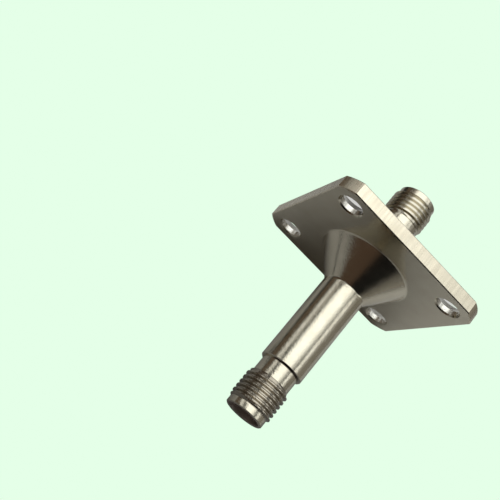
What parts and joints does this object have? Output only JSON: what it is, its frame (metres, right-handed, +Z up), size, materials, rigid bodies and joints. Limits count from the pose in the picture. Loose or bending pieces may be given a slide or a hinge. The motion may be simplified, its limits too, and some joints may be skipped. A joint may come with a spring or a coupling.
{
  "type": "flanged coaxial adapter",
  "caption": "Coaxial SMA adapter for a panel: square screw-on flange between two cones, a short threaded jack in front and a long plain barrel with a threaded jack behind.",
  "frame": {"origin": "middle of the flange's rear face, which seats on the panel, on the connector's axis", "axes": "+Y along the connector's axis towards the short front jack, X and Z along the flange's sides, +Z up"},
  "size_m": [0.0254, 0.0401, 0.0254],
  "materials": {
    "nickel_plate": "bright nickel plate over turned and milled brass",
    "insulator": "smooth waxy fluoropolymer",
    "gold_plate": "gold plate over spring copper"
  },
  "bodies": {
    "root": {"body": "nickel_plate", "front_insulator": "insulator", "rear_insulator": "insulator", "centre_contact": "gold_plate"}
  },
  "joints": []
}
